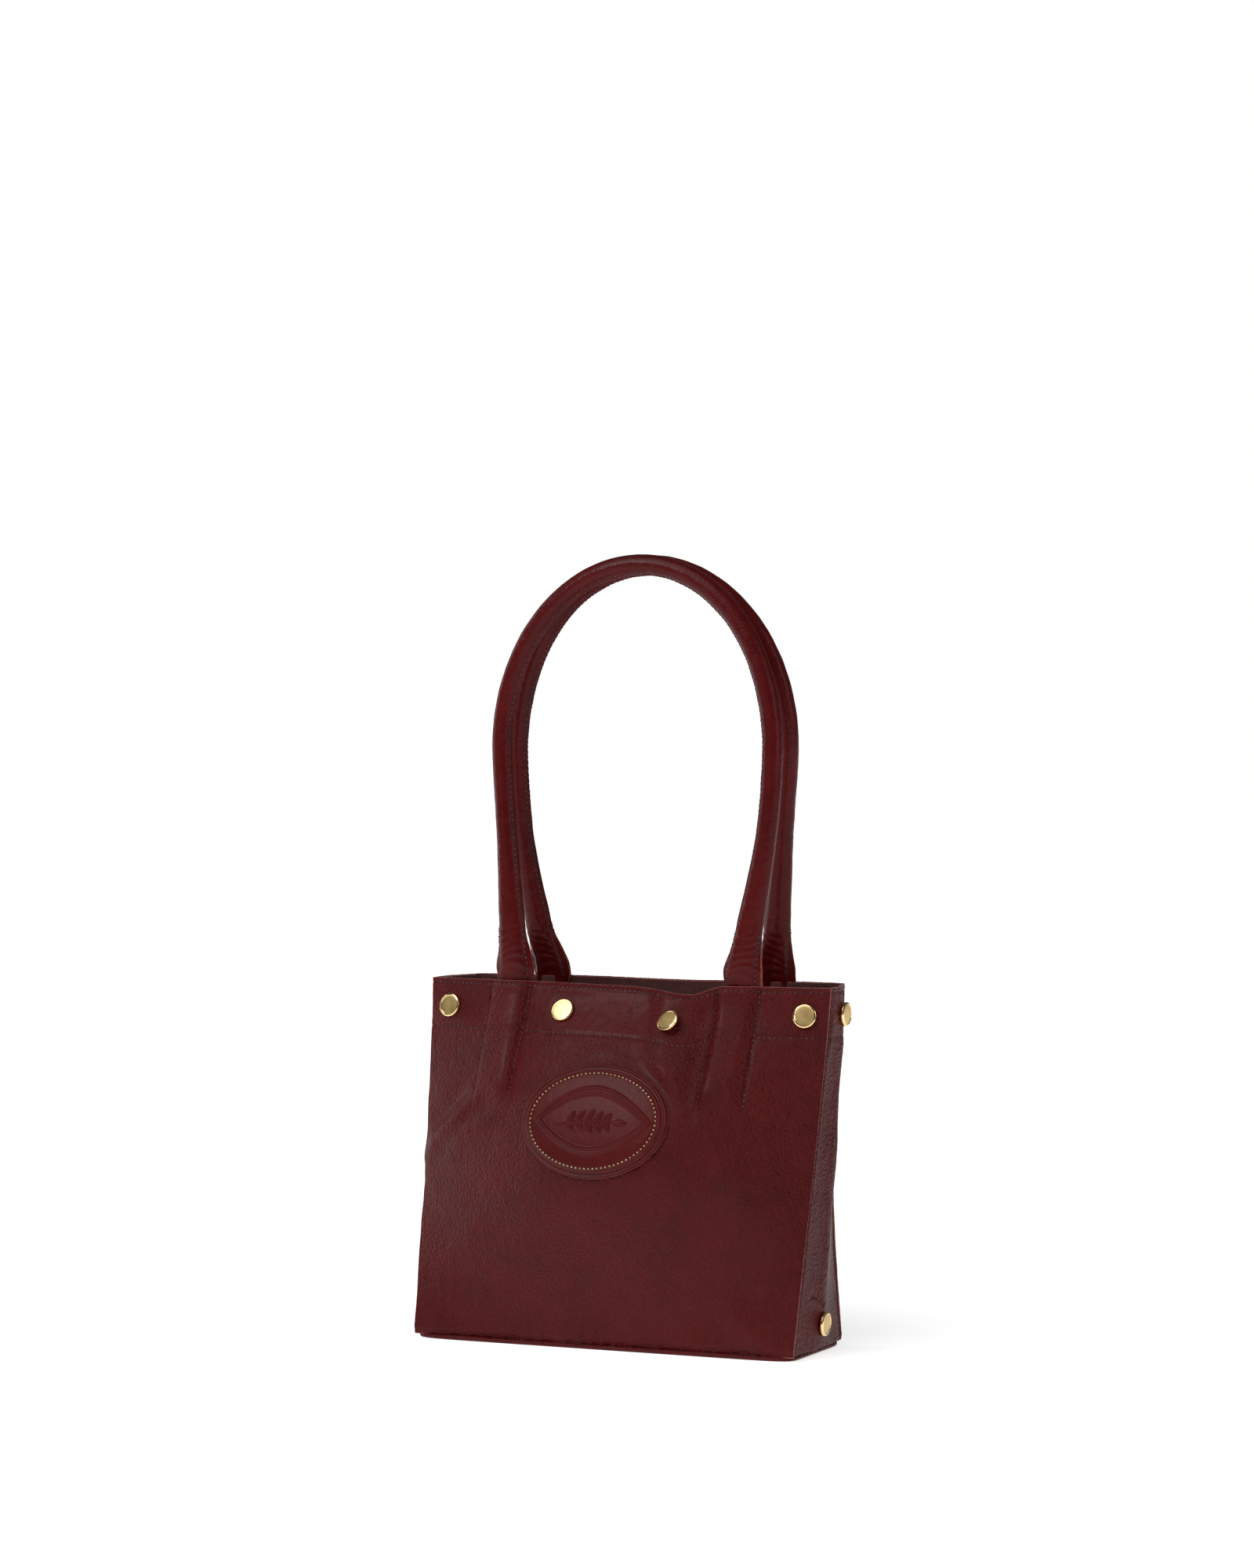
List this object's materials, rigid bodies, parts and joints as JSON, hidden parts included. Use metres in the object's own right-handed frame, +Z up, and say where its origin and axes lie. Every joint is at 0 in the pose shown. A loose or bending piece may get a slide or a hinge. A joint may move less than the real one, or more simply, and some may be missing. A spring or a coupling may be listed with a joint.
{
  "type": "tote bag",
  "caption": "Open-top leather satchel tote with rolled shoulder handles, stitched hem, gold-tone studs and a blank oval badge.",
  "frame": {"origin": "centre of the base panel's underside, on the surface that the bag stands on", "axes": "+Z up, -Y out of the bowed front panel with the badge, +X to the right when facing the front"},
  "size_m": [0.2748, 0.1267, 0.4882],
  "materials": {
    "leather": "pebbled, soft sheen",
    "brass": "satin gold tone",
    "rope": "matte cord",
    "board": "matte"
  },
  "bodies": {
    "bag": {"front_panel": "leather", "back_panel": "leather", "left_gusset": "leather", "right_gusset": "leather", "base_panel": "leather", "front_facing": "leather", "back_facing": "leather", "left_facing": "leather", "right_facing": "leather", "front_left_handle_tab": "leather", "front_right_handle_tab": "leather", "back_left_handle_tab": "leather", "back_right_handle_tab": "leather", "front_left_tab_patch": "leather", "front_right_tab_patch": "leather", "back_left_tab_patch": "leather", "back_right_tab_patch": "leather", "badge_backing": "leather", "badge_face": "leather", "front_stud_caps": "brass", "front_stud_rivets": "brass", "back_stud_caps": "brass", "back_stud_rivets": "brass", "left_gusset_stud_caps": "brass", "left_gusset_stud_rivets": "brass", "right_gusset_stud_caps": "brass", "right_gusset_stud_rivets": "brass", "base_stiffener": "board"},
    "front_handle": {"front_handle_cover": "leather", "front_handle_core": "rope"},
    "back_handle": {"back_handle_cover": "leather", "back_handle_core": "rope"}
  },
  "joints": [
    {"name": "front_handle_swing", "type": "hinge", "parent": "bag", "child": "front_handle", "pos_m": [0, -0.0011, 0.231], "axis": [1, 0, 0], "range_deg": [0, 140]},
    {"name": "back_handle_swing", "type": "hinge", "parent": "bag", "child": "back_handle", "pos_m": [0, 0.05343, 0.231], "axis": [-1, 0, 0], "range_deg": [0, 140]}
  ]
}
